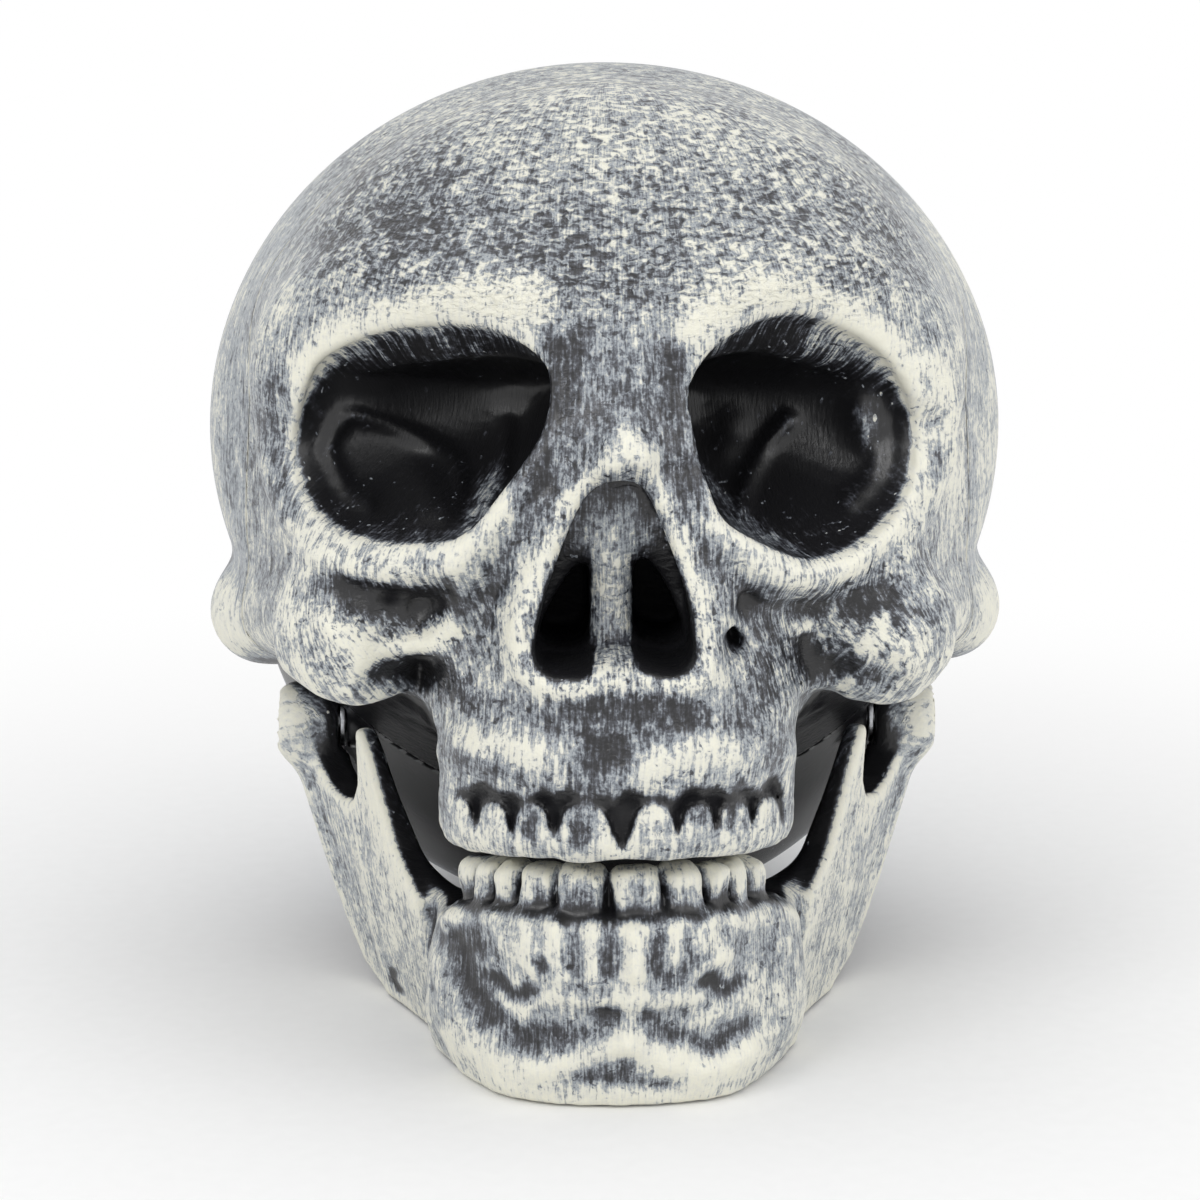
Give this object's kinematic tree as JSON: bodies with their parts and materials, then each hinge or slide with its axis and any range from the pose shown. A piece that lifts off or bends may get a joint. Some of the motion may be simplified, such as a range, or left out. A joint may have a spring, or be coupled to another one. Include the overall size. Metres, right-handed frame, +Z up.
{
  "type": "halloween skull decoration",
  "caption": "Hollow plastic human skull decoration with deep eye sockets, bared teeth and a hinged lower jaw, dry-brushed bone white over black.",
  "frame": {"origin": "middle of the skull's footprint, on the table that it stands on", "axes": "+Z up, the face looks along -Y, +X towards the skull's own left"},
  "size_m": [0.1462, 0.1816, 0.1659],
  "materials": {
    "painted_plastic": "black moulded plastic with bone-white paint dry-brushed over its raised parts",
    "steel": "plain zinc-plated"
  },
  "bodies": {
    "skull": {"face_shell": "painted_plastic", "cranium_shell": "painted_plastic", "hinge_pin_left": "steel", "hinge_pin_right": "steel", "hinge_washer_left": "steel", "hinge_washer_right": "steel", "shell_screw_left": "steel", "shell_screw_right": "steel"},
    "jaw": {"jaw": "painted_plastic"}
  },
  "joints": [
    {"name": "jaw_hinge", "type": "hinge", "parent": "skull", "child": "jaw", "pos_m": [0, -0.004, 0.047], "axis": [1, 0, 0], "range_deg": [0, 40]}
  ]
}
